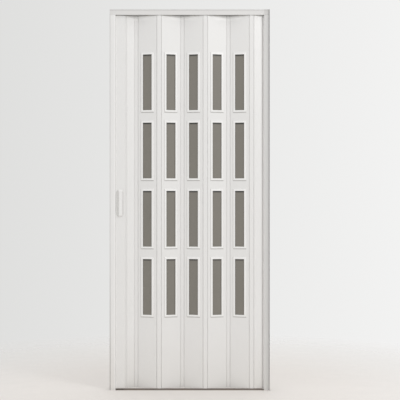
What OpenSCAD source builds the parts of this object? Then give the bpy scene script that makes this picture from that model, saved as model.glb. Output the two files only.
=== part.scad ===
// Accordion door in its own slim surround. Five glazed panels and two half panels are hollow
// extrusions, joined by hinge strips with a socket along each edge. They hang from roller
// trucks in a track over the opening, and fold up against the jamb on the right.
// X runs along the track, Y from the front to the back, Z up. The origin is on the floor,
// midway between the jambs and under the middle of the track. Sizes are in millimetres.

/* [Surround] */
// Height from the floor to the top of the track
door_h = 2030; // [1980:5:2400]
// Width of each jamb, seen from the front
jamb_w = 30; // [26:1:60]
// Depth of the jambs and the track, front to back
frame_d = 50; // [49:1:70]
// Wall of the jamb and track profiles
frame_wall = 2; // [1.6:0.1:2.4]
// Radius of the outer edges of the jambs and the track
frame_edge_r = 1.5; // [0.5:0.1:2]
// Radius of the holes for the wall screws
wall_screw_r = 2.25; // [1.5:0.05:3]
// Radius of the opening that lets a wall screw's head into a jamb
screw_head_r = 4.5; // [3.5:0.1:6]
// Distance of the jamb's screws behind the middle of the jamb
jamb_screw_y = 17; // [16:0.5:18]
// Number of screws up each jamb
jamb_screw_n = 4; // [3:1:6]
// Distance of the end screws from each end of a jamb
jamb_screw_end = 160; // [100:10:250]

/* [Track] */
// Height of the track profile
track_h = 30; // [30:1:50]
// Thickness of the track's top
track_top = 2.5; // [2:0.1:5]
// Height of the lips that hang below the ledges
lip_h = 8; // [6:0.5:12]
// Thickness of the ledges that carry the wheels
ledge_t = 2; // [1.6:0.1:2.6]
// Width of the slot between the ledges
slot_w = 12; // [11:0.5:14]
// Thickness of the rib along each edge of the slot
guide_t = 1.2; // [0.8:0.1:1.6]
// Height of the rib along each edge of the slot
guide_h = 1.5; // [1:0.1:2]
// Number of screws along the track
track_screw_n = 4; // [2:1:6]
// Distance of the end screws from each end of the track
track_screw_end = 70; // [60:1:150]
// Length of the stop at each end of the track
stop_l = 14; // [10:1:18]

/* [Panels] */
// Number of glazed panels
panel_n = 5; // [3:2:7]
// Distance between the two pivots of a panel
panel_pivots = 111.8; // [104:0.2:140]
// Thickness of a panel
panel_t = 9; // [8.8:0.1:9.6]
// Wall of a panel's hollow profile
panel_wall = 1.2; // [1:0.1:1.4]
// Thickness of the ribs inside a panel
rib_t = 1.2; // [0.8:0.1:1.6]
// Radius along a panel's long edges
panel_edge_r = 1.5; // [0.5:0.1:2.5]
// Gap between the panels and the floor
floor_gap = 8; // [5:1:15]
// Gap between the panels and the track
track_gap = 1; // [0.8:0.1:2]
// Angle of the panels to the track with the door closed
rest_angle = 16; // [12:1:24]
// Angle of the panels to the track with the door folded away
fold_angle = 86; // [80:1:87]

/* [Hinges] */
// Distance between the two pivots of a hinge strip
strip_pivots = 16; // [15.6:0.2:20]
// Radius of the bead along each edge of a panel
bead_r = 3; // [2.6:0.1:3.1]
// Running clearance between a bead and its socket
bead_gap = 0.05; // [0.03:0.01:0.1]
// Wall round a socket
socket_wall = 1.15; // [1:0.05:1.4]
// Thickness of the neck between a bead and its panel
neck_t = 2; // [1.6:0.1:2.2]
// Gap between a panel's edge and the socket that it turns round
turn_gap = 0.5; // [0.4:0.1:1]
// Angle left free on each side of the neck at the ends of the fold
mouth_slack = 5; // [4:1:6]
// Width of the flat band on the closed side of a hinge strip
band_w = 19; // [17:0.5:20]
// Height of that band over the sockets
band_rise = 0.5; // [0.4:0.1:1]

/* [Windows] */
// Number of windows in a panel
window_n = 4; // [2:1:5]
// Width of the glass that shows
glass_w = 50; // [40:1:52]
// Height of the glass that shows
glass_h = 298; // [200:1:310]
// Distance from one window to the next
window_pitch = 365; // [350:0.5:400]
// Distance from the panel's top to the glass of the top window
window_drop = 207; // [150:1:260]
// Width of the window frame's face
bezel_w = 10.5; // [9:0.5:12]
// Height of the window frame over the panel
bezel_rise = 3.4; // [1.5:0.1:3.6]
// Thickness of the pane
pane_t = 4; // [2.5:0.1:4.5]
// Gap between the cut-out and what sits in it
glazing_gap = 0.1; // [0.1:0.05:0.3]
// Thickness of the window frame's spigot
spigot_t = 3.9; // [3:0.1:4.5]

/* [Lead post] */
// Distance from the post's pivot to the jamb that it closes against
post_reach = 47.2; // [44:0.1:60]
// Thickness of the post, front to back
post_d = 28; // [26:1:34]
// Width of the lip that covers the joint between the post and its half panel
lip_w = 8; // [4:0.5:10]
// Thickness of that lip
lip_t = 2; // [1.5:0.1:3]
// Gap between the post and the jamb with the door closed
close_gap = 0.5; // [0.4:0.1:1]
// Width of the magnet strip
magnet_w = 12; // [8:1:14]
// Thickness of the magnet strip
magnet_t = 2; // [1.6:0.1:2.4]
// Height of the magnet strip over the post's edge
magnet_rise = 0.2; // [0.1:0.05:0.25]
// Width of the steel plate that the magnet strip meets
strike_w = 24; // [18:1:24]
// Thickness of that plate
strike_t = 1.5; // [1:0.1:1.6]
// Number of screws in that plate
strike_screw_n = 5; // [3:1:7]
// Radius of those screws
strike_screw_r = 1.1; // [0.9:0.1:1.4]
// Radius of their heads
strike_head_r = 2.3; // [2:0.1:3]
// Length of those screws behind the plate
strike_screw_l = 6; // [4:0.5:12]

/* [Handles] */
// Width of a pull handle
handle_w = 41; // [36:1:41]
// Height of a pull handle
handle_h = 152; // [120:1:180]
// Height of the handle's middle above the floor
handle_z = 998; // [900:1:1100]
// Distance that a handle stands off the post
handle_rise = 10.5; // [9:0.1:11]
// Thickness of a handle's rim
handle_rim = 2.2; // [1.8:0.1:3]
// Radius of the hollow for the fingers, on the leading side
hollow_r = 16; // [14:0.5:18]
// Radius of the cove on the other side
cove_r = 7; // [7:0.5:10]
// Length over which the grip rises at each end
swell_l = 14; // [12:1:40]
// Distance between the two handle screws
handle_screw_gap = 84; // [60:1:90]
// Radius of the handle screws
handle_screw_r = 2; // [1.5:0.1:2.2]
// Distance of the handle screws from the handle's middle, towards the hinges
handle_screw_x = 3; // [2:0.5:4]

/* [Roller trucks] */
// Radius of a wheel
wheel_r = 7; // [6:0.1:7.2]
// Width of a wheel
wheel_w = 5; // [4:0.1:6]
// Distance between the two wheels on an axle
wheel_gap = 17; // [16.6:0.1:18]
// Radius of the axle
axle_r = 1.5; // [1.2:0.1:1.8]
// Length of the axle outside each wheel
axle_end = 0.5; // [0.3:0.1:1]
// Thickness of the truck over the axle
axle_roof = 3; // [2:0.5:4]
// Thickness of the truck between the axle and the hanger bolt
axle_web = 2; // [1.5:0.1:2.5]
// Width of a wheel's rim and of the hub round its bore
rim_t = 1.4; // [1:0.1:1.6]
// Depth of the dish between the rim and the hub
dish = 1.2; // [0.6:0.1:2]
// Running clearance of the axle and of the hanger bolt
run_gap = 0.05; // [0.03:0.01:0.08]
// Gap between a wheel and its ledge
ledge_gap = 0.3; // [0.2:0.05:0.5]
// Length of a truck along the track
truck_l = 18; // [14:0.5:20]
// Radius of the hanger bolt
bolt_r = 2; // [1.6:0.1:2.2]
// Radius of the hanger bolt's head
bolt_head_r = 3; // [2.6:0.1:3.1]
// Thickness of the hanger bolt's head
bolt_head_t = 2.8; // [2:0.1:3.5]

/* [End caps] */
// Thickness of a cap's plate
cap_t = 1.5; // [1:0.1:2.5]
// Depth of a cap's plugs inside the profile
plug_h = 16; // [14:1:24]
// Thickness of the web that the hanger bolt passes through
cap_web = 3.5; // [3:0.1:5]
// Gap between a plug and its profile
plug_gap = 0.1; // [0.05:0.05:0.2]
// Width of the cell that takes the plug with the hanger bolt
plug_cell = 24; // [20:1:26]

/* [Hidden] */
round_fn = 64;
small_fn = 32;
bite = 1;
clear = 0.3;
tuck = 0.2;
bevel_w = 2;
bevel_h = 0.6;
grip_steps = 10;
grip_skin = 2;
edge_r = 0.4;

socket_in = bead_r + bead_gap;
socket_r = socket_in + socket_wall;
neck_half = asin(neck_t / 2 / socket_in);
mouth_from = rest_angle - neck_half - mouth_slack;
mouth_to = fold_angle + neck_half + mouth_slack;
edge_in = socket_r + turn_gap;

pitch = strip_pivots + panel_pivots * cos(rest_angle);
fold_y = panel_pivots / 2 * sin(rest_angle);
hinge_setback = panel_t / 2 + turn_gap;
door_w = 2 * jamb_w + hinge_setback + (panel_n + 1) * pitch + post_reach;
hinge_pivot_x = door_w / 2 - jamb_w - hinge_setback;
lead_pivot_x = hinge_pivot_x - (panel_n + 1) * pitch;

track_z = door_h - track_h;
panel_top = track_z - track_gap;
panel_z0 = floor_gap + cap_t;
panel_z1 = panel_top - cap_t;
panel_edge = panel_pivots / 2 - edge_in;
half_edge = panel_pivots / 4 - edge_in;

cut_w = glass_w + 2 * spigot_t + 2 * glazing_gap;
cut_h = glass_h + 2 * spigot_t + 2 * glazing_gap;
panel_ribs = [-(cut_w + rib_t) / 2, -(plug_cell + rib_t) / 2, (plug_cell + rib_t) / 2, (cut_w + rib_t) / 2];
half_ribs = [-half_edge / 3, half_edge / 3];
inner_t = panel_t - 2 * panel_wall;

post_x0 = close_gap - post_reach;
post_x1 = -(panel_t / 2 + turn_gap + clear);
post_mid = (post_x0 + post_x1) / 2;
post_side = frame_wall + magnet_t - magnet_rise;
magnet_z0 = panel_z0 + plug_h;
magnet_z1 = panel_z1 - plug_h;

ledge_top = track_z + lip_h + ledge_t;
axle_z = ledge_top + ledge_gap + wheel_r;
truck_w = wheel_gap - 2 * clear;
truck_z0 = ledge_top + guide_h + 2 * clear;
truck_z1 = axle_z + axle_r + axle_roof;
web_z0 = panel_top - cap_t - cap_web;
pocket_h = bolt_head_t + 2 * clear;
bolt_z1 = axle_z - axle_r - axle_web;

// Places along the track: piece 0 is the half panel at the lead post, 1 to panel_n are the
// glazed panels, and the last is the half panel at the hinge jamb.
function panel_x(k) = lead_pivot_x + pitch * k;
function panel_turn(k) = k % 2 == 0 ? rest_angle : -rest_angle;
function strip_x(k) = lead_pivot_x + pitch * (k - 0.5);
function strip_side(k) = k % 2 == 0 ? -1 : 1;
function window_z(i) = panel_top - window_drop - glass_h / 2 - window_pitch * i;

// Places of n screws, evenly spread between the first and last at a distance from each end
function spread(n, length, end) = [for (i = [0:n - 1]) end + (length - 2 * end) * i / (n - 1)];

// Points of an arc, and of a rectangle with round corners
function arc(middle, r, from, to, steps = 6) =
    [for (i = [0:steps]) let (a = from + (to - from) * i / steps) middle + r * [cos(a), sin(a)]];
function soft_rect(w, d, r) = concat(
    arc([w / 2 - r, d / 2 - r], r, 0, 90), arc([r - w / 2, d / 2 - r], r, 90, 180),
    arc([r - w / 2, r - d / 2], r, 180, 270), arc([w / 2 - r, r - d / 2], r, 270, 360));

// Places a piece that is drawn about a panel's own middle
module on_panel(k) translate([panel_x(k), 0, 0]) rotate([0, 0, panel_turn(k)]) children();

// Hinge parts. A socket points to +X and opens towards +Y, which is the way its panel folds.
module socket_cut() {
    circle(r = socket_in, $fn = round_fn);
    polygon(concat([[0, 0]], arc([0, 0], 2 * socket_r, mouth_from, mouth_to)));
}
module socket_body() circle(r = socket_r, $fn = round_fn);

// The hollow section of a panel with a bead along each edge
module panel_section(pivots, ribs) {
    half = pivots / 2 - edge_in;
    walls = concat([panel_wall - rib_t / 2 - half], ribs, [half - panel_wall + rib_t / 2]);
    difference() {
        union() {
            polygon(soft_rect(2 * half, panel_t, panel_edge_r));
            square([pivots, neck_t], center = true);
            for (side = [-1, 1]) translate([side * pivots / 2, 0]) circle(r = bead_r, $fn = round_fn);
        }
        for (i = [0:len(walls) - 2])
            translate([walls[i] + rib_t / 2, -inner_t / 2])
                square([walls[i + 1] - walls[i] - rib_t, inner_t]);
    }
}
module panel_length() translate([0, 0, panel_z0]) linear_extrude(panel_z1 - panel_z0) children();

module panel(k) color("whitesmoke") on_panel(k) difference() {
    panel_length() panel_section(panel_pivots, panel_ribs);
    for (i = [0:window_n - 1])
        translate([0, 0, window_z(i)]) cube([cut_w, 2 * panel_t, cut_h], center = true);
}

module half_panel(k, side) color("whitesmoke") half_place(k, side)
    panel_length() panel_section(panel_pivots / 2, half_ribs);

// A half panel runs from the pivot of the post or the jamb to the nearest hinge strip
module half_place(k, side)
    translate([panel_x(k) + side * panel_pivots / 4 * cos(rest_angle), side * fold_y / 2, 0])
        rotate([0, 0, panel_turn(k)]) children();

// Hinge strip: a hollow bar with a socket along each edge and a flat band on its closed side
module strip_section() {
    closed_y = tuck - socket_r;
    open_y = socket_r - tuck - clear;
    band_y = -socket_r - band_rise;
    cell = strip_pivots - 2 * (socket_r + tuck);
    difference() {
        union() {
            for (side = [-1, 1]) translate([side * strip_pivots / 2, 0]) socket_body();
            translate([-strip_pivots / 2, closed_y]) square([strip_pivots, open_y - closed_y]);
            polygon([[-band_w / 2, closed_y + bite], [-band_w / 2, band_y + band_rise],
                     [band_rise - band_w / 2, band_y], [band_w / 2 - band_rise, band_y],
                     [band_w / 2, band_y + band_rise], [band_w / 2, closed_y + bite]]);
        }
        for (side = [0, 1]) mirror([side, 0]) translate([strip_pivots / 2, 0]) socket_cut();
        translate([-cell / 2, closed_y + panel_wall]) square([cell, open_y - closed_y - 2 * panel_wall]);
    }
}
module hinge_strip(k) color("white")
    translate([strip_x(k), strip_side(k) * fold_y, floor_gap])
        rotate([0, 0, strip_side(k) > 0 ? 180 : 0])
            linear_extrude(panel_top - floor_gap) strip_section();

// Window frames: each face has a frame of four mitred bars, whose spigot holds the pane. The
// face of a bar is bevelled at the glass and falls away in a round at the outside.
module bezel_bar(w, h) intersection() {
    translate([w / 2, 0, 0]) rotate([90, 0, 0]) linear_extrude(h + 2 * bezel_w, center = true)
        polygon(concat([[0, pane_t / 2 - panel_t / 2], [0, bezel_rise - bevel_h], [bevel_h, bezel_rise]],
            arc([bezel_w - bezel_rise, 0], bezel_rise, 90, 0),
            [[spigot_t, 0], [spigot_t, pane_t / 2 - panel_t / 2]]));
    translate([0, 0, -panel_t]) linear_extrude(2 * panel_t)
        polygon([[w / 2, h / 2], [w / 2 + bezel_w, h / 2 + bezel_w],
                 [w / 2 + bezel_w, -h / 2 - bezel_w], [w / 2, -h / 2]]);
}
module bezel() {
    for (turn = [0, 180]) rotate([0, 0, turn]) bezel_bar(glass_w, glass_h);
    for (turn = [90, 270]) rotate([0, 0, turn]) bezel_bar(glass_h, glass_w);
}
module window_frames(k) color("white") on_panel(k)
    for (i = [0:window_n - 1], turn = [0, 180])
        translate([0, 0, window_z(i)]) rotate([0, 0, turn])
            translate([0, -panel_t / 2, 0]) rotate([90, 0, 0]) bezel();

module panes(k) color("gray") on_panel(k)
    for (i = [0:window_n - 1]) translate([0, 0, window_z(i)])
        cube([cut_w - 4 * glazing_gap, pane_t, cut_h - 4 * glazing_gap], center = true);

// End caps: a plate over the end of the profile, with plugs that fill some of its cells
module cap_plate(w) linear_extrude(cap_t)
    polygon(soft_rect(w - 2 * plug_gap, panel_t - 2 * plug_gap, panel_edge_r));
module cap_plug(w, d, h)
    translate([0, 0, -h / 2]) cube([w - 2 * plug_gap, d - 2 * plug_gap, h], center = true);

// Takes the bolt's bore and the pocket for its head out of a cap whose plate lies on Z = 0
module hanger_bore(pocket_d) difference() {
    children();
    translate([0, 0, -plug_h]) cylinder(r = bolt_r + run_gap, h = plug_h + 2 * cap_t, $fn = round_fn);
    translate([0, 0, -cap_web - pocket_h / 2])
        cube([2 * bolt_head_r + 2 * bite, pocket_d, pocket_h], center = true);
}

module panel_cap() {
    side_w = panel_edge - panel_wall - cut_w / 2 - rib_t;
    cap_plate(2 * panel_edge);
    cap_plug(plug_cell, inner_t, plug_h);
    for (side = [-1, 1])
        translate([side * (cut_w / 2 + rib_t + side_w / 2), 0, 0]) cap_plug(side_w, inner_t, plug_h / 2);
}
module panel_caps(k) color("gainsboro") on_panel(k) {
    translate([0, 0, panel_z1]) hanger_bore(panel_t) panel_cap();
    translate([0, 0, panel_z0]) mirror([0, 0, 1]) panel_cap();
}
module half_cap() {
    cap_plate(2 * half_edge);
    cap_plug(half_ribs[1] - half_ribs[0] - rib_t, inner_t, plug_h);
}
module half_panel_caps(k, side) color("gainsboro") half_place(k, side) {
    translate([0, 0, panel_z1]) half_cap();
    translate([0, 0, panel_z0]) mirror([0, 0, 1]) half_cap();
}

// Jambs: closed box profiles with two inner webs, drawn with the door to the left of X = 0
module jamb_outline() difference() {
    translate([jamb_w / 2, 0]) polygon(soft_rect(jamb_w, frame_d, frame_edge_r));
    for (side = [-1, 1]) translate([jamb_w / 2, side * (frame_d + strike_w) / 4])
        square([jamb_w - 2 * frame_wall, (frame_d - strike_w) / 2 - 2 * frame_wall], center = true);
    translate([strike_t + frame_wall, -strike_w / 2])
        square([jamb_w - strike_t - 2 * frame_wall, strike_w]);
}
module jamb_screw_holes() for (z = spread(jamb_screw_n, track_z, jamb_screw_end))
    translate([0, jamb_screw_y, z]) rotate([0, 90, 0]) {
        cylinder(r = wall_screw_r, h = jamb_w + bite, $fn = small_fn);
        translate([0, 0, -bite]) cylinder(r = screw_head_r, h = frame_wall + 2 * bite, $fn = small_fn);
    }
module strike_jamb() color("white") translate([jamb_w - door_w / 2, 0, 0]) mirror([1, 0, 0]) difference() {
    linear_extrude(track_z) difference() {
        jamb_outline();
        translate([-bite, -strike_w / 2]) square([strike_t + bite, strike_w]);
    }
    jamb_screw_holes();
    strike_screw_places()
        cylinder(r = strike_screw_r + plug_gap, h = 4 * frame_wall, center = true, $fn = small_fn);
}
module hinge_jamb() color("white") translate([door_w / 2 - jamb_w, 0, 0]) difference() {
    linear_extrude(track_z) difference() {
        union() {
            jamb_outline();
            translate([-hinge_setback, 0]) socket_body();
            translate([-hinge_setback, -neck_t]) square([hinge_setback + bite, socket_r + neck_t - bite]);
        }
        translate([-hinge_setback, 0]) rotate(180) socket_cut();
    }
    jamb_screw_holes();
}

// Strike plate and its screws, on the jamb that the lead post closes against. Screw places
// are drawn with the jamb's face on X = 0 and the plate behind it.
module strike_screw_places() for (i = [0:strike_screw_n - 1])
    translate([strike_t, 0, track_z * (i + 0.5) / strike_screw_n]) rotate([0, 90, 0]) children();
module strike_head(gap)
    cylinder(r1 = strike_head_r + gap, r2 = strike_screw_r + gap, h = strike_t, $fn = small_fn);
module strike_place() translate([jamb_w - door_w / 2, 0, 0]) mirror([1, 0, 0]) children();
module strike_plate() color("silver") strike_place() difference() {
    translate([0, -strike_w / 2, floor_gap]) cube([strike_t, strike_w, panel_top - floor_gap]);
    strike_screw_places() translate([0, 0, -strike_t]) strike_head(plug_gap);
}
module strike_screws() color("silver") strike_place() strike_screw_places() {
    translate([0, 0, -strike_t]) strike_head(0);
    cylinder(r = strike_screw_r, h = strike_screw_l, $fn = small_fn);
}

// Track: a rail with an inward ledge on each side and a slot between them
module track_section() {
    inner_w = frame_d - 2 * frame_wall;
    ledge_w = (inner_w - slot_w) / 2;
    difference() {
        translate([0, track_h / 2]) polygon(soft_rect(frame_d, track_h, frame_edge_r));
        translate([-inner_w / 2, -bite]) square([inner_w, track_h - track_top + bite]);
    }
    for (side = [-1, 1]) {
        translate([side * (slot_w + ledge_w) / 2, lip_h + ledge_t / 2])
            square([ledge_w, ledge_t], center = true);
        translate([side * (slot_w + guide_t) / 2, lip_h + (ledge_t + guide_h) / 2])
            square([guide_t, ledge_t + guide_h], center = true);
    }
}
module track_rail() color("white") difference() {
    translate([-door_w / 2, 0, track_z]) rotate([90, 0, 90]) linear_extrude(door_w) track_section();
    for (x = spread(track_screw_n, door_w, track_screw_end))
        translate([x - door_w / 2, 0, door_h - track_top - bite])
            cylinder(r = wall_screw_r, h = track_top + 2 * bite, $fn = small_fn);
}
module track_stops() color("gainsboro") for (side = [-1, 1]) {
    stop_w = frame_d - 2 * frame_wall - 2 * plug_gap;
    stop_h = door_h - track_top - plug_gap - ledge_top;
    translate([side * (door_w / 2 - jamb_w) - stop_l / 2, 0, ledge_top]) difference() {
        translate([0, -stop_w / 2, 0]) cube([stop_l, stop_w, stop_h]);
        translate([-bite, -slot_w / 2 - guide_t - plug_gap, -bite])
            cube([stop_l + 2 * bite, slot_w + 2 * guide_t + 2 * plug_gap, guide_h + plug_gap + bite]);
    }
}

// Lead post: a box profile with the magnet strip in its leading edge, a socket at the back of
// its front face and a lip over the joint. It is drawn about the pivot of its half panel.
module post_section() {
    nose_x = socket_r - tuck;
    difference() {
        union() {
            translate([post_mid, 0]) polygon(soft_rect(post_x1 - post_x0, post_d, frame_edge_r));
            translate([(post_mid + nose_x) / 2, -post_d / 4 - neck_t / 2])
                polygon(soft_rect(nose_x - post_mid, post_d / 2 - neck_t, frame_edge_r));
            socket_body();
            translate([post_x1 - bite, bite - socket_r]) square([-post_x1, 2 * (socket_r - bite)]);
            translate([nose_x - bite, -socket_r - clear - lip_t]) square([lip_w + bite, lip_t]);
        }
        socket_cut();
        translate([post_x0 + post_side, frame_wall - post_d / 2])
            square([post_x1 - post_x0 - frame_wall - post_side, post_d - 2 * frame_wall]);
        translate([post_x1, frame_wall - post_d / 2])
            square([nose_x - frame_wall - post_x1, post_d / 2 - socket_r - 2 * frame_wall]);
        translate([post_x0 - bite, -magnet_w / 2]) square([magnet_t - magnet_rise + bite, magnet_w]);
    }
}
module on_post() translate([lead_pivot_x, 0, 0]) children();
module lead_post() color("white") on_post() difference() {
    panel_length() post_section();
    handle_screw_places()
        cylinder(r = handle_screw_r + clear, h = post_d + 2 * bite, center = true, $fn = small_fn);
}
module magnet_strip() color("dimgray") on_post() translate([post_x0 - magnet_rise, -magnet_w / 2, magnet_z0])
    cube([magnet_t, magnet_w, magnet_z1 - magnet_z0]);

module post_cap() {
    cell_w = post_x1 - post_x0 - frame_wall - post_side;
    translate([post_mid, 0, 0]) linear_extrude(cap_t)
        polygon(soft_rect(post_x1 - post_x0 - 2 * plug_gap, post_d - 2 * plug_gap, frame_edge_r));
    translate([post_x0 + post_side + cell_w / 2, 0, 0]) cap_plug(cell_w, post_d - 2 * frame_wall, plug_h);
}
module post_end_caps() color("gainsboro") on_post() {
    translate([post_mid, 0, panel_z1])
        hanger_bore(2 * bolt_head_r + 2 * bite) translate([-post_mid, 0, 0]) post_cap();
    translate([0, 0, panel_z0]) mirror([0, 0, 1]) post_cap();
}

// Pull handles: a stadium-shaped plate that swells to a grip, with a wide hollow for the
// fingers on the leading side and a narrow cove on the other. Drawn with the post's face on
// Y = 0 and the grip towards -Y.
// One side of the section, from the post's face to the grip's crown. The hollow's arc runs
// into the arc of the shoulder where the two circles touch.
function flank(r) =
    let (at = [bevel_w - handle_w / 2, -handle_rim - r], reach = r + bevel_w, crown_y = bevel_w - handle_rise,
         meet = asin((crown_y - at.y) / reach), step = (90 - meet) / grip_steps)
    concat([[-handle_w / 2, 0], [-handle_w / 2, bevel_h - handle_rim]], arc(at, r, 90, meet, grip_steps),
           arc([at.x + reach * cos(meet), crown_y], bevel_w, 180 + meet + step, 270));
module grip_section() {
    leading = flank(hollow_r);
    other = flank(cove_r);
    polygon(concat(leading, [for (i = [len(other) - 1:-1:0]) [-other[i].x, other[i].y]]));
}
module handle_outline() {
    for (end = [-1, 1]) translate([0, end * (handle_h - handle_w) / 2]) circle(d = handle_w, $fn = round_fn);
    square([handle_w, handle_h - handle_w], center = true);
}
module grip_profile() {
    half = handle_h / 2;
    rise = handle_rise - handle_rim;
    swell = [for (i = [0:grip_steps])
        [half - bevel_w - swell_l * i / grip_steps, handle_rim + rise * (1 - cos(180 * i / grip_steps)) / 2]];
    upper = concat([[half, 0], [half, handle_rim - bevel_h]], swell);
    polygon(concat(upper, [for (i = [len(upper) - 1:-1:0]) [-upper[i].x, upper[i].y]]));
}
module handle() intersection() {
    linear_extrude(handle_h, center = true) grip_section();
    rotate([90, 0, 0]) linear_extrude(handle_rise) handle_outline();
    rotate([90, -90, 90]) linear_extrude(handle_w, center = true) grip_profile();
}
// Screw places lie on the grip's crown, with Z along the screw towards the front handle
module handle_screw_places() for (end = [-1, 1])
    translate([post_mid + handle_screw_x, 0, handle_z + end * handle_screw_gap / 2])
        rotate([90, 0, 0]) children();
module handle_front() color("white") on_post() difference() {
    translate([post_mid, -post_d / 2, handle_z]) handle();
    handle_screw_places()
        cylinder(r = handle_screw_r + run_gap, h = post_d / 2 + handle_rise - grip_skin, $fn = small_fn);
}
module handle_rear() color("white") on_post() difference() {
    translate([post_mid, post_d / 2, handle_z]) mirror([0, 1, 0]) handle();
    handle_screw_places() {
        mirror([0, 0, 1]) cylinder(r = handle_screw_r + run_gap, h = post_d, $fn = small_fn);
        translate([0, 0, -post_d / 2 - handle_rise - bite])
            cylinder(r = 2 * handle_screw_r + clear, h = handle_rise / 2 + bite, $fn = small_fn);
    }
}
module handle_screws() color("silver") on_post() handle_screw_places() {
    seat = -post_d / 2 - handle_rise / 2;
    tip = post_d / 2 + handle_rise - grip_skin - clear;
    translate([0, 0, seat]) cylinder(r = handle_screw_r, h = tip - seat, $fn = small_fn);
    translate([0, 0, seat - handle_screw_r])
        cylinder(r = 2 * handle_screw_r, h = handle_screw_r, $fn = small_fn);
}

// Roller truck: a carrier on an axle with two wheels, over the hanger bolt that passes
// through the track's slot and turns in the panel's top cap
module truck_place(k) translate([k == 0 ? lead_pivot_x + post_mid : panel_x(k), 0, 0]) children();
module truck(k) color("ivory") truck_place(k) difference() {
    union() {
        translate([0, 0, truck_z0])
            linear_extrude(truck_z1 - truck_z0) polygon(soft_rect(truck_l, truck_w, bevel_w));
        translate([0, 0, panel_top + clear])
            cylinder(r = 2 * bolt_r, h = truck_z0 - panel_top, $fn = small_fn);
    }
    translate([0, 0, axle_z]) rotate([90, 0, 0])
        cylinder(r = axle_r + run_gap, h = 2 * truck_w, center = true, $fn = small_fn);
    translate([0, 0, panel_top - bite])
        cylinder(r = bolt_r + run_gap, h = bolt_z1 + clear - panel_top + bite, $fn = small_fn);
}
module hanger_bolt(k) color("silver") truck_place(k) {
    translate([0, 0, web_z0 - clear - bolt_head_t])
        cylinder(r = bolt_head_r, h = bolt_head_t, $fn = small_fn);
    translate([0, 0, web_z0 - clear]) cylinder(r = bolt_r, h = bolt_z1 - web_z0 + clear, $fn = small_fn);
}
module wheel() rotate_extrude($fn = round_fn) {
    bore = axle_r + run_gap / 2;
    rim = wheel_r - rim_t;
    hub = axle_r + rim_t;
    polygon([[bore, 0], [wheel_r - edge_r, 0], [wheel_r, edge_r], [wheel_r, wheel_w - edge_r],
             [wheel_r - edge_r, wheel_w], [rim, wheel_w], [rim - edge_r, wheel_w - dish],
             [hub + edge_r, wheel_w - dish], [hub, wheel_w], [bore, wheel_w]]);
}
module wheelset(k) color("lightgray") truck_place(k) translate([0, 0, axle_z]) {
    for (turn = [90, 270]) rotate([turn, 0, 0]) translate([0, 0, wheel_gap / 2]) wheel();
    rotate([90, 0, 0])
        cylinder(r = axle_r, h = wheel_gap + 2 * (wheel_w + axle_end), center = true, $fn = small_fn);
}

track_rail();
track_stops();
strike_jamb();
hinge_jamb();
strike_plate();
strike_screws();
lead_post();
post_end_caps();
magnet_strip();
handle_front();
handle_rear();
handle_screws();
truck(0);  // truck_lead
hanger_bolt(0);  // hanger_bolt_lead
wheelset(0);  // wheelset_lead
half_panel(0, 1);  // half_panel_lead
half_panel_caps(0, 1);  // half_panel_caps_lead
half_panel(panel_n + 1, -1);  // half_panel_hinge
half_panel_caps(panel_n + 1, -1);  // half_panel_caps_hinge
for (k = [1:panel_n + 1]) hinge_strip(k);
for (k = [1:panel_n]) panel(k);
for (k = [1:panel_n]) window_frames(k);
for (k = [1:panel_n]) panes(k);
for (k = [1:panel_n]) panel_caps(k);
for (k = [1:panel_n]) truck(k);
for (k = [1:panel_n]) hanger_bolt(k);
for (k = [1:panel_n]) wheelset(k);
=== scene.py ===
import bpy
import numpy as np
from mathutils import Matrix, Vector


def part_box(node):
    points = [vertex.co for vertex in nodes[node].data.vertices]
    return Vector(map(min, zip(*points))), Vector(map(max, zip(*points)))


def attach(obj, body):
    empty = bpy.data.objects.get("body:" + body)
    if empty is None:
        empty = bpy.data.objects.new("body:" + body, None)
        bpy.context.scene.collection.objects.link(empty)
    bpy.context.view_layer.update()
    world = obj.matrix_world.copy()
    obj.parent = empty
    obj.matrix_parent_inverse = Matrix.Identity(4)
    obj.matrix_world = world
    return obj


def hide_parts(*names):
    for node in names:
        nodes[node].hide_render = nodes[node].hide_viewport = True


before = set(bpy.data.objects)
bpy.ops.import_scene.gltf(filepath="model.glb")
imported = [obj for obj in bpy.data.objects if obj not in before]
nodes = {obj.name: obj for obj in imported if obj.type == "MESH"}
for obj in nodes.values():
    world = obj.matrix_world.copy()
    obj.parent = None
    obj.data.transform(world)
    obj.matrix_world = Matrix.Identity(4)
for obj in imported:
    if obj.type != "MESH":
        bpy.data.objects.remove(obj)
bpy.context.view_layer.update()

# Camera. It stands level and square to the door, five and a half metres away and a little to
# the right of its middle, at about half its height.
camera = bpy.data.objects.new("camera", bpy.data.cameras.new("camera"))
bpy.context.scene.collection.objects.link(camera)
bpy.context.scene.camera = camera
camera.location = (0.0547, -5.515, 1.0134)
camera.rotation_euler = (np.pi / 2, 0, 0)
camera.data.lens = 92.7
bpy.context.scene.view_settings.view_transform = "Standard"


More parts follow.
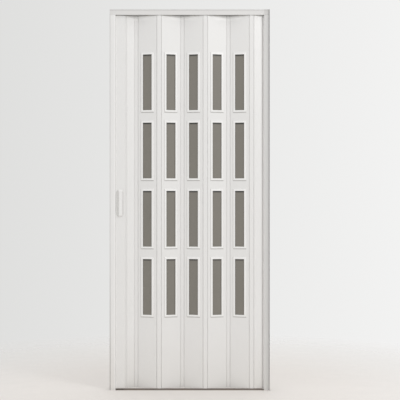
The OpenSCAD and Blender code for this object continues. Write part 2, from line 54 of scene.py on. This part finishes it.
# Studio. A pale floor that fades into a pale backdrop, greyer on the left, with soft light all
# round and one large soft lamp high on the right. A dark strip on the floor between the jambs is
# a painted shadow for the shade under the door, and narrow black boards beside and over the door
# keep some light off its edges.
class Wire:
    """A socket in a node tree. Arithmetic on wires and numbers adds Math nodes."""

    def __init__(self, tree, socket=None):
        self.tree = tree
        self.socket = socket

    def node(self, kind, settings=None, sockets=None, out=0):
        """Adds a node of this kind. Its settings go in first, then its sockets' values or wires."""
        made = self.tree.nodes.new(kind)
        for name, value in (settings or {}).items():
            setattr(made, name, value)
        for name, value in (sockets or {}).items():
            if isinstance(value, Wire):
                self.tree.links.new(value.socket, made.inputs[name])
            else:
                made.inputs[name].default_value = value
        return Wire(self.tree, made.outputs[out])

    def feed(self, shader, name):
        """Leads this wire into a socket of a shader."""
        self.tree.links.new(self.socket, shader.inputs[name])

    def maths(self, operation, *others):
        """A Math node of this operation. It takes this wire first, then the others."""
        sockets = dict(enumerate((self, *others)))
        return self.node("ShaderNodeMath", {"operation": operation}, sockets)

    def __add__(self, other):
        return self.maths("ADD", other)

    def __sub__(self, other):
        return self.maths("SUBTRACT", other)

    def __rsub__(self, other):
        return self.node("ShaderNodeMath", {"operation": "SUBTRACT"}, {0: other, 1: self})

    def __mul__(self, other):
        return self.maths("MULTIPLY", other)

    def __abs__(self):
        return self.maths("ABSOLUTE")

    __radd__ = __add__
    __rmul__ = __mul__

    def within(self, low, high):
        """0 up to low, 1 from high on, and a straight ramp between. Low may be the larger one."""
        sockets = {"Value": self, "From Min": low, "From Max": high}
        return self.node("ShaderNodeMapRange", {"clamp": True}, sockets)

    def near(self, middle, reach):
        """1 at the middle, and a straight fall to 0 at reach on either side of it."""
        return abs(self - middle).within(reach, 0)

    def nearest(self, first, pitch):
        """Signed distance to the nearest of a row of middles, one at first and one every pitch."""
        return (self - first).maths("WRAP", pitch / 2, -pitch / 2)

    def axis(self, name):
        """The X, Y or Z of a vector."""
        return self.node("ShaderNodeSeparateXYZ", {}, {0: self}, out=name)

    def noise(self, scale, detail, distortion=0.0):
        """Cloudy noise on these coordinates."""
        sockets = {"Vector": self, "Scale": scale, "Detail": detail, "Distortion": distortion}
        return self.node("ShaderNodeTexNoise", {}, sockets)

    def mix(self, below, above):
        """A colour that goes from below, where this mask is 0, to above, where it is 1."""
        colours = {0: self, 6: below, 7: above}
        return self.node("ShaderNodeMix", {"data_type": "RGBA"}, colours, out=2)


def surface(name, vertices, faces):
    """A mesh object of vertices and quads, smooth except where faces meet at over 35 degrees."""
    mesh = bpy.data.meshes.new(name)
    points = np.asarray(vertices, float).reshape(-1, 3)
    quads = np.asarray(faces, int).reshape(-1, 4).tolist()
    mesh.from_pydata(points, [], quads)
    mesh.polygons.foreach_set("use_smooth", np.ones(len(mesh.polygons), bool))
    mesh.set_sharp_from_angle(angle=np.radians(35))
    made = bpy.data.objects.new(name, mesh)
    bpy.context.scene.collection.objects.link(made)
    return made


def material(name):
    """A new material, its shader, and a wire that carries its Object coordinates."""
    made = bpy.data.materials.new(name)
    made.use_nodes = True
    shader = made.node_tree.nodes["Principled BSDF"]
    return made, shader, Wire(made.node_tree).node("ShaderNodeTexCoord", out="Object")


# How far the jambs' inner and outer faces stand from the middle
inner, outer = -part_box("strike_jamb")[1].x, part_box("hinge_jamb")[1].x

floor_colour, painted_gap_shadow = (0.80, 0.765, 0.735, 1), (0.155, 0.115, 0.085, 1)
floor = surface("studio_floor", [[-6, -6, 0], [6, -6, 0], [6, 6, 0], [-6, 6, 0]], [[0, 1, 2, 3]])
floor_finish, base, place = material("studio_floor")
# The painted shadow is as wide as the doorway and as deep as the surround, with soft edges
doorway = abs(place.axis("X")).within(inner + 0.001, inner - 0.001)
depth = place.axis("Y").within(-0.031, -0.025) * place.axis("Y").within(0.034, 0.024)
(doorway * depth).mix(floor_colour, painted_gap_shadow).feed(base, "Base Color")
base.inputs["Roughness"].default_value = 0.6
far = place.node("ShaderNodeVectorMath", {"operation": "LENGTH"}, {0: place}, out="Value")
fade = (far + place.noise(7.0, 5.0) * 0.2).within(0.9, 2.4)
painted = Wire(place.tree, base.outputs[0])
clear = place.node("ShaderNodeBsdfTransparent")
faded = place.node("ShaderNodeMixShader", {}, {0: fade, 1: painted, 2: clear})
faded.feed(floor_finish.node_tree.nodes["Material Output"], "Surface")
floor.data.materials.append(floor_finish)

backdrop_left, backdrop_right = (0.70, 0.70, 0.69, 1), (0.93, 0.93, 0.925, 1)
world = bpy.data.worlds.new("studio")
bpy.context.scene.world = world
world.use_nodes = True
look = Wire(world.node_tree).node("ShaderNodeTexCoord")
glossy = look.node("ShaderNodeLightPath", out="Is Glossy Ray")
seen = look.node("ShaderNodeLightPath", out="Is Camera Ray").maths("MAXIMUM", glossy)
wall = look.axis("X").within(-0.3, 0.3).mix(backdrop_left, backdrop_right)
backdrop = look.node("ShaderNodeBackground", {}, {"Color": wall, "Strength": 1.0})
sky = look.axis("Z").maths("MAXIMUM", 0) * 0.32 + 0.735
dome = look.node("ShaderNodeBackground", {}, {"Color": (1, 0.995, 0.985, 1), "Strength": sky})
both = look.node("ShaderNodeMixShader", {}, {0: seen, 1: dome, 2: backdrop})
both.feed(world.node_tree.nodes["World Output"], "Surface")

key = bpy.data.objects.new("key", bpy.data.lights.new("key", "AREA"))
key.data.size = 0.8
key.data.energy = 28
key.location = (2.2, -2.6, 3.0)
key.rotation_euler = (Vector((0, 0, 1.3)) - key.location).to_track_quat("-Z", "Y").to_euler()
bpy.context.scene.collection.objects.link(key)

felt, black = material("studio_black")[:2]
black.inputs["Base Color"].default_value = (0.02, 0.02, 0.02, 1)
black.inputs["Roughness"].default_value = 0.9


def board(name, start, end, depth):
    """A black board that the camera doesn't see. It runs from start to end and reaches this far
    towards the camera, to keep some light off what stands beside it."""
    forward = [0, -depth, 0]
    corners = [np.add(start, forward), start, end, np.add(end, forward)]
    made = surface(f"studio_board_{name}", corners, [[0, 1, 2, 3]])
    made.data.materials.append(felt)
    made.visible_camera = False
    made.visible_glossy = False


# The boards stand 2.5 mm outside the surround and half a millimetre in front of its face
beside, over, front = 0.429, 2.0325, -0.0255
for name, x, depth in (("right", beside, 0.016), ("left", -beside, 0.003)):
    board(name, (x, front, 0), (x, front, over), depth)
board("top", (-beside, front, over), (beside, front, over), 0.003)

# Surround. The track and the two jambs are closed white vinyl extrusions with small rounded
# edges, cut square, butted at the corners and screwed to the opening.
# A warm tint for floor dust and painted shade low down, a grey for painted shade, and a white for
# painted light
dust_and_shade_tint, painted_shade_grey = (0.55, 0.50, 0.42, 1), (0.25, 0.24, 0.22, 1)
painted_light_white = (0.97, 0.965, 0.955, 1)
upright, level = (700, 700, 5), (5, 700, 700)


def vinyl(name, colour, stretch, rough=0.36, dust_and_shade=0.5, marks=None):
    """White extruded vinyl: hair-fine lines left along the run by the die, a faint cloudiness,
    an orange-peel skin, and floor dust with painted shade darkening the lowest part. marks(place)
    lists the piece's own painted light and shade, each as a mask from 0 to 1 and a colour."""
    made, skin, place = material(name)
    run = place.node("ShaderNodeMapping", {}, {"Vector": place, "Scale": stretch})
    lines = run.noise(1.0, 3.0)
    cloud = place.noise(5.0, 4.0)
    peel = place.noise(420.0, 2.0)
    # Floor dust and painted shade darken the vinyl towards the floor, fading out 32 cm up
    darkening = (1 - place.axis("Z").within(0.0, 0.32)) * (cloud * 0.5 + dust_and_shade)
    tone = (lines - 0.5) * 0.10 + (cloud - 0.5) * 0.12 + 0.5
    deep = tuple(c * 0.93 for c in colour)
    pale = tuple(c * 1.07 for c in colour)
    shown = (darkening * 0.14).mix(tone.mix((*deep, 1), (*pale, 1)), dust_and_shade_tint)
    if marks:
        for mask, mark in marks(place):
            shown = mask.mix(shown, mark)
    relief = {"Height": lines * 0.6 + peel * 0.4, "Strength": 0.25, "Distance": 0.00012}
    shown.feed(skin, "Base Color")
    (cloud * 0.12 + lines * 0.06 + (rough - 0.09)).feed(skin, "Roughness")
    place.node("ShaderNodeBump", {}, relief).feed(skin, "Normal")
    return made


def wear(finish, *names):
    """Puts one finish on these CAD nodes."""
    for name in names:
        nodes[name].data.materials.clear()
        nodes[name].data.materials.append(finish)


def closing_edge(place):
    """Painted light whitens the vinyl along the joint where the post closes against the strike
    jamb.
    """
    return [(place.axis("X").near(-inner, 0.006) * 0.95, painted_light_white)]


def strike_side(place):
    """As closing_edge, with a line of painted shade down the outer edge. It is heavier towards the
    floor."""
    edge = place.axis("X").near(0.002 - outer, 0.0035)
    heavier = place.axis("Z").within(0.75, 0.0) * 0.70
    return closing_edge(place) + [(edge * (heavier + 0.22), painted_shade_grey)]


def hinge_side(place):
    """Painted light whitens the socket and the side that faces the door, and painted shade greys
    the outer edge a little.
    """
    x = place.axis("X")
    return [(x.within(inner + 0.0006, inner - 0.0002), painted_light_white),
            (x.near(outer - 0.001, 0.0035) * 0.15, painted_shade_grey)]


def track_marks(place):
    """A fine line of painted shade lies along the step near the top of the face, and painted shade
    greys the inside and the end over the hinge jamb."""
    x, y, z = (place.axis(name) for name in "XYZ")
    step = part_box("track_rail")[1].z - 0.0066
    inside = y.within(-0.012, -0.009) * y.within(0.0235, 0.020)
    return [(z.near(step, 0.0018) * 0.35, painted_shade_grey), (inside * 0.85, painted_shade_grey),
            (x.within(inner - 0.001, inner + 0.001) * 0.18, painted_shade_grey)]


strike_white = vinyl(
    "white_vinyl_strike_jamb", (0.845, 0.839, 0.830), upright, dust_and_shade=1.5, marks=strike_side)
# The hinge jamb's white is greyer than the strike jamb's: painted shade
hinge_white = vinyl("white_vinyl_hinge_jamb", (0.705, 0.699, 0.690), upright, marks=hinge_side)
# The track's white is greyer than the strike jamb's too: painted shade
track_white = vinyl("white_vinyl_track", (0.752, 0.743, 0.733), level, marks=track_marks)
wear(strike_white, "strike_jamb")
wear(hinge_white, "hinge_jamb")
wear(track_white, "track_rail")


# Panels. Each of the five is one hollow white vinyl extrusion, 9 mm thick, with a bead along each
# long edge that slides into the hinge strips. They face left and right by turns, 16 degrees off
# the track, and each has four openings one over the other.
def middle(name):
    """The middle of a CAD node's box."""
    return np.mean(np.array(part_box(name)), axis=0)


turns = {"left": np.radians(-16), "right": np.radians(16)}
facing = {"left": (1, 3, 5), "right": (2, 4)}
first = middle("panel_1")[0]
pitch = (middle("panel_5")[0] - first) / 4
top_row, row_pitch = 1.643, 0.365
half_w, half_h, frame_w = 0.025, 0.149, 0.0105


def on_panel(place, turn):
    """Distances along and up from the middle of the nearest opening, on panels of this turn."""
    x, y, z = (place.axis(name) for name in "XYZ")
    along = x.nearest(first, pitch) * np.cos(turn) + y * np.sin(turn)
    return along, z.nearest(top_row, row_pitch)


def painted_top_light(place):
    """Painted light whitens the top, under the track, most at the back folds."""
    behind = place.axis("Y").within(-0.012, -0.002) * 0.80
    return [(place.axis("Z").within(1.970, 1.988) * (behind + 0.15), painted_light_white)]


def crease(turn):
    """Painted shadow under each window frame, and a trace of it down the frame's left side."""
    side, sill, glazed_foot, glazed_head = half_w + frame_w, half_h + frame_w, 0.360, 1.830

    def marks(place):
        along, up = on_panel(place, turn)
        z = place.axis("Z")
        below = up.near(-sill - 0.0015, 0.0035) * abs(along).within(side + 0.002, side - 0.0005)
        beside = along.near(-side - 0.0011, 0.0018) * abs(up).within(sill + 0.0025, sill - 0.0005)
        over_foot = z.within(glazed_foot - 0.005, glazed_foot + 0.005)
        over_head = z.within(glazed_head - 0.005, glazed_head + 0.005)
        darkening = (below * 0.6).maths("MAXIMUM", beside * 0.4) * (over_foot - over_head)
        return painted_top_light(place) + [(darkening, painted_shade_grey)]
    return marks


for way, turn in turns.items():
    name, colour = f"white_vinyl_panels_{way}", (0.818, 0.812, 0.803)
    # Painted shadow under and left of each window frame, and painted light on the tops
    finish = vinyl(name, colour, upright, rough=0.40, marks=crease(turn))
    wear(finish, *[f"panel_{k}" for k in facing[way]])


# Half panels. The same extrusion as the panels, at half the width and with no openings. One joins
# the lead post to the first hinge strip, and the other joins the last strip to the hinge jamb.
def lead_side(place):
    """Painted light on the top as on the panels, with painted shade in the joint beside the post
    and painted light on the edge next to it.
    """
    x, joint = place.axis("X"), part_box("lead_post")[1].x
    return painted_top_light(place) + [(x.near(joint - 0.0032, 0.006) * 0.16, painted_shade_grey),
                              (x.near(joint + 0.0055, 0.004) * 0.40, painted_light_white)]


def jamb_side(place):
    """Painted light on the top as on the panels, with a line of painted shade beside the jamb and
    painted light past it, in the joint.
    """
    x, joint = place.axis("X"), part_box("hinge_jamb")[0].x + 0.00065
    return painted_top_light(place) + [(x.within(joint + 0.0015, joint + 0.0025), painted_light_white),
                              (x.near(joint, 0.0022) * 0.45, painted_shade_grey)]


for end, marks in (("lead", lead_side), ("hinge", jamb_side)):
    # A touch paler than the panels: painted light
    name, colour = f"white_vinyl_half_panel_{end}", (0.840, 0.834, 0.825)
    finish = vinyl(name, colour, upright, rough=0.40, dust_and_shade=1.0, marks=marks)
    wear(finish, f"half_panel_{end}")

# Hinge strips. Six hollow white vinyl bars with a socket along each edge, a little glossier than
# the panels, slid over the panels' beads from the end.
strip_colour = (0.818, 0.812, 0.803)
# Painted light on the strips' tops
strip_white = vinyl("white_vinyl_strips", strip_colour, upright, rough=0.30, marks=painted_top_light)
wear(strip_white, *[f"hinge_strip_{k}" for k in range(1, 7)])


# Window frames. A moulded white bead frames each opening on both faces. It is mitred at the
# corners, eased at the glass, and rounded down to the panel outside.
def mitred(profile, half_width, half_height):
    """Carries a closed profile round a rectangle of these half sizes. Its point (u, h) lies u
    outside the rectangle and h in front of it, so it turns the corners where x is plus or minus
    half_width + u and z is plus or minus half_height + u."""
    u, h = profile.T
    sign = np.array([[-1, -1], [1, -1], [1, 1], [-1, 1]])
    x = sign[:, :1] * (half_width + u)
    z = sign[:, 1:] * (half_height + u)
    ring = np.stack([x, np.tile(-h, (4, 1)), z], -1)
    side, step = np.meshgrid(np.arange(4), np.arange(len(u)), indexing="ij")
    here, after = side * len(u), (side + 1) % 4 * len(u)
    onward = (step + 1) % len(u)
    faces = np.stack([here + step, here + onward, after + onward, after + step], -1)
    return ring.reshape(-1, 3), faces.reshape(-1, 4)


def arc(u, h, r, start, end, count):
    """Points of an arc of radius r about (u, h), from one angle to another in degrees."""
    turn = np.radians(np.linspace(start, end, count))
    return np.stack([u + r * np.cos(turn), h + r * np.sin(turn)], -1)


def outwards(vertices, faces):
    """Turns the faces of a closed surface outwards if the volume that they enclose is negative."""
    a, b, c, d = (vertices[faces[:, i]] for i in range(4))
    volume = np.sum(a * np.cross(b, c)) + np.sum(a * np.cross(c, d))
    return faces if volume > 0 else faces[:, ::-1]


# The bead's height, its radius at the glass, the width and depth of its tongue in the opening,
# and half the panel's thickness
bead_h, ease, tongue_w, tongue_d, half_t = 0.0034, 0.0008, 0.0039, 0.0025, 0.0045
bead = np.concatenate([
    [[0, -tongue_d]], arc(ease, bead_h - ease, ease, 180, 90, 6),
    arc(frame_w - bead_h, 0, bead_h, 90, 0, 14), [[tongue_w, 0], [tongue_w, -tongue_d]]])
ring, ring_faces = mitred(bead, half_w, half_h)
ring_faces = outwards(ring, ring_faces)
front_ring = ring - [0, half_t, 0]
pair = np.stack([front_ring, front_ring * [-1, -1, 1]])
rows = top_row - row_pitch * np.arange(4)
stack = pair + rows[:, None, None, None] * [0, 0, 1]
stack_faces = ring_faces + len(ring) * np.arange(8)[:, None, None]
frame_white = {}
for way, turn in turns.items():
    name, colour = f"white_vinyl_window_frames_{way}", (0.90, 0.895, 0.885)
    # Painted shadow along the foot of each frame, below and on the left
    frame_white[way] = vinyl(name, colour, (90, 90, 90), rough=0.24, marks=crease(turn))
for k in range(1, 6):
    way = "left" if k in facing["left"] else "right"
    cos, sin = np.cos(turns[way]), np.sin(turns[way])
    turned = stack @ np.array([[cos, sin, 0], [-sin, cos, 0], [0, 0, 1]])
    spot = [middle(f"panes_{k}")[0], 0, 0]
    beads = surface(f"window_beads_{k}", turned + spot, stack_faces)
    beads.data.materials.append(frame_white[way])
    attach(beads, f"leaf_{k}")
    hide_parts(f"window_frames_{k}")

# Panes. Stiff grey obscured sheet, four millimetres thick, held between the two frames. Its
# satin face has a fine pebbled grain, with painted shade along its edges, most under the top
# frame.
for way, turn in turns.items():
    pane, face, place = material(f"obscured_pane_{way}")
    grained = {"Vector": place, "Scale": 330.0, "Smoothness": 0.6}
    pebble = place.node("ShaderNodeTexVoronoi", {"feature": "SMOOTH_F1"}, grained)
    tint = pebble * 0.6 + place.noise(3.0, 3.0) * 0.5
    grey = tint.mix((0.196, 0.184, 0.161, 1), (0.253, 0.237, 0.209, 1))
    along, up = on_panel(place, turn)
    # Painted shade along the pane's sides and, darker, under its top frame
    sides = abs(along).within(half_w - 0.0045, half_w + 0.0005) * 0.42
    top = up.within(half_h - 0.0105, half_h - 0.0025) * 0.92
    relief = {"Height": pebble, "Strength": 0.5, "Distance": 0.0003}
    sides.maths("MAXIMUM", top).mix(grey, (0.01, 0.01, 0.01, 1)).feed(face, "Base Color")
    (pebble * 0.2 + 0.38).feed(face, "Roughness")
    place.node("ShaderNodeBump", {}, relief).feed(face, "Normal")
    face.inputs["Specular IOR Level"].default_value = 0.35
    wear(pane, *[f"panes_{k}" for k in facing[way]])

# Lead post. A hollow white vinyl extrusion that closes against the left jamb. A socket behind
# its face takes the first half panel's bead, and a lip covers the joint.
# Painted light along the post's closing edge
post_white = vinyl("white_vinyl_post", (0.825, 0.819, 0.810), upright, marks=closing_edge)
wear(post_white, "lead_post")


# Pull handles. Moulded white plates with rounded ends, one on each side of the post. Each swells
# to a grip and has a wide hollow for the fingers along its leading side. The back one has the
# counterbores for the two screws that clamp the pair together.
def plate(section, length, rise_over, edge, rim):
    """A stadium-shaped plate that swells towards its middle. Each point (x, h) of the section runs
    the stadium's length at x, in steps that shorten towards the ends. Its height is the rim's at
    the ends and grows to h along a cosine over rise_over, less an elliptical easing within edge of
    the outline. A flat back closes it."""
    x, h = section.T
    half = (x.max() - x.min()) / 2
    core = length / 2 - half
    reach = core + np.sqrt(np.maximum(half ** 2 - x ** 2, 0))
    z = reach[:, None] * np.sin(np.linspace(-np.pi / 2, np.pi / 2, 121))
    across = np.broadcast_to(x[:, None], z.shape)
    inside = half - np.hypot(across, np.maximum(np.abs(z) - core, 0))
    low = h.clip(max=rim)[:, None]
    swell = (1 - np.cos(np.pi * ((length / 2 - edge - np.abs(z)) / rise_over).clip(0, 1))) / 2
    eased = rim * 0.3 * (1 - np.sqrt(1 - (1 - (inside / edge).clip(0, 1)) ** 2))
    height = low + (h[:, None] - low) * swell - eased
    face = np.stack([across, -height, z], -1).reshape(-1, 3)
    back = np.stack([across, 0 * z, z], -1).reshape(-1, 3)
    index = np.arange(z.size).reshape(z.shape)
    cells = [index[:-1, :-1], index[1:, :-1], index[1:, 1:], index[:-1, 1:]]
    cells = np.stack(cells, -1).reshape(-1, 4)
    loop = np.concatenate([index[0, :-1], index[:-1, -1], index[-1, :0:-1], index[:0:-1, 0]])
    wall = np.stack([loop, np.roll(loop, -1), np.roll(loop, -1) + z.size, loop + z.size], -1)
    return np.concatenate([face, back]), np.concatenate([cells, cells[:, ::-1] + z.size, wall])


# The plate's width and length, its height at the rim and at the crown, and its shoulder's radius
wide, tall, rim, crown, shoulder = 0.0385, 0.147, 0.0022, 0.0105, 0.002


def flank(hollow):
    """Half of the section, from the rim to the crown. A hollow of this radius starts level with
    the rim and runs into the shoulder's arc where the two circles touch."""
    flat, low, high = 0.002 - wide / 2, rim + hollow, crown - shoulder
    meet = np.arcsin((high - low) / (hollow + shoulder))
    across = flat + (hollow + shoulder) * np.cos(meet)
    return np.concatenate([
        [[-wide / 2, rim], [-wide / 2 + 0.0008, rim]],
        arc(flat, low, hollow, -90, np.degrees(meet), 16)[:-1],
        arc(across, high, shoulder, 180 + np.degrees(meet), 90, 9)])


def painted_grip_shade(place):
    """Painted shade greys the hollow and a strip along the other side."""
    x = place.axis("X") - middle("handle_front")[0]
    grey = (x.near(-0.0115, 0.012) * 0.34).maths("MAXIMUM", x.near(0.0200, 0.008) * 0.3)
    return [(grey, painted_shade_grey)]


leading, other = flank(0.016), flank(0.004)[::-1] * [-1, 1]
top = np.linspace(leading[-1], other[0], 6)[1:-1]
section = np.concatenate([leading, top, other])
grip, grip_faces = plate(section, tall, rise_over=0.007, edge=0.002, rim=rim)
low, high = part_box("handle_front")
seat = [high.x - wide / 2, high.y, low.z + tall / 2]
handle = surface("pull_handle_front", grip + seat, outwards(grip, grip_faces))
handle_white = vinyl(
    "white_moulded_handle", (0.865, 0.859, 0.849), (160, 160, 160), rough=0.26, dust_and_shade=0.2,
    marks=painted_grip_shade)
handle.data.materials.append(handle_white)
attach(handle, "lead")
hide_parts("handle_front")
wear(handle_white, "handle_rear")

# Steel. The strike plate on the jamb, its screws, the handle screws and the hanger bolts are
# zinc plated, with the faint spangle and fine scratches of plated steel.
zinc, steel, place = material("zinc_plated_steel")
spangle = place.node("ShaderNodeTexVoronoi", {}, {"Vector": place, "Scale": 240.0})
drawn = place.node("ShaderNodeMapping", {}, {"Vector": place, "Scale": (900, 900, 12)})
scratch = drawn.noise(1.0, 2.0)
plated = (spangle * 0.5 + scratch * 0.4).mix((0.50, 0.51, 0.53, 1), (0.68, 0.68, 0.68, 1))
plated.feed(steel, "Base Color")
(scratch * 0.25 + 0.28).feed(steel, "Roughness")
steel.inputs["Metallic"].default_value = 1.0
carried = ["lead", *range(1, 6)]
bolts = [f"hanger_bolt_{k}" for k in carried]
wear(zinc, "strike_plate", "strike_screws", "handle_screws", *bolts)

# Magnet strip. Flexible dark rubber, pressed into the groove along the post's leading edge.
rubber, soft, place = material("magnet_rubber")
speck = place.noise(900.0, 3.0)
speck.mix((0.035, 0.034, 0.033, 1), (0.075, 0.072, 0.070, 1)).feed(soft, "Base Color")
(speck * 0.3 + 0.5).feed(soft, "Roughness")
wear(rubber, "magnet_strip")

# Running gear. Six trucks moulded in natural nylon ride in the track, each on an axle with two
# wheels, over the hanger bolt that carries its panel or the post.
nylon, body, place = material("natural_nylon")
flow = place.noise(140.0, 4.0, distortion=1.2)
flow.mix((0.66, 0.64, 0.57, 1), (0.78, 0.765, 0.70, 1)).feed(body, "Base Color")
(flow * 0.2 + 0.32).feed(body, "Roughness")
wear(nylon, *[f"{piece}_{k}" for piece in ("truck", "wheelset") for k in carried])

# End caps and track stops. Moulded in matt off-white plastic with a lightly spark-textured
# skin, pressed into the ends of the profiles.
matt, shell, place = material("matt_cap_plastic")
spark = place.noise(1300.0, 2.0)
tone = place.noise(30.0, 2.0) * 0.6 + spark * 0.4
tone.mix((0.70, 0.69, 0.66, 1), (0.78, 0.77, 0.74, 1)).feed(shell, "Base Color")
(spark * 0.15 + 0.5).feed(shell, "Roughness")
pits = {"Height": spark, "Strength": 0.4, "Distance": 0.0001}
place.node("ShaderNodeBump", {}, pits).feed(shell, "Normal")
capped = ["post_end_caps", "half_panel_caps_lead", "half_panel_caps_hinge"]
wear(matt, "track_stops", *capped, *[f"panel_caps_{k}" for k in range(1, 6)])
